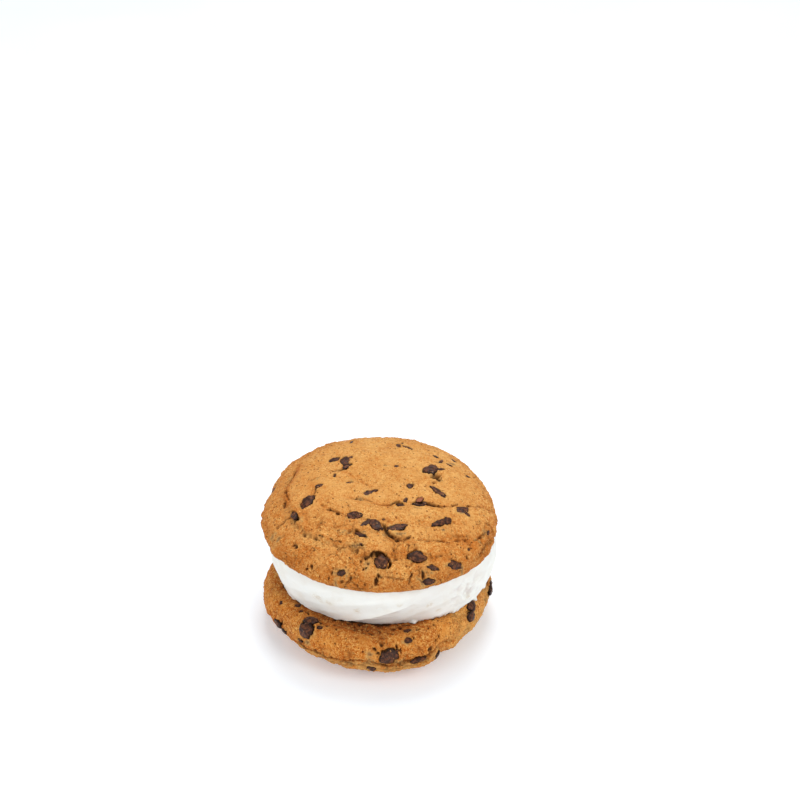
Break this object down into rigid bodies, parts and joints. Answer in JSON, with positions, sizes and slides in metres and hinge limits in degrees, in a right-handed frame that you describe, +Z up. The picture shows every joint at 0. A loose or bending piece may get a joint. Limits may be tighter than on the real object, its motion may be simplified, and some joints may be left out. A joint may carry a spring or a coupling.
{
  "type": "whoopie pie",
  "caption": "Round chocolate chip cookie sandwich: two domed cookies, flat sides inward, with a thick layer of white cream bulging between them.",
  "frame": {"origin": "on the ground, under the middle of the whole pie's box", "axes": "+Z up through the pie; -Y is the front that the picture shows; +X to its right"},
  "size_m": [0.0858, 0.09, 0.0575],
  "materials": {
    "cookie": "matt golden brown baked dough, browner at the rims, fine sandy crumb with small cracks and pores",
    "cream": "soft satin white whipped cream with smooth spread streaks",
    "chocolate": "dark brown chocolate chips with a soft dull sheen"
  },
  "bodies": {
    "root": {"bottom_cookie": "cookie", "cream_filling": "cream", "top_cookie": "cookie"}
  },
  "joints": []
}
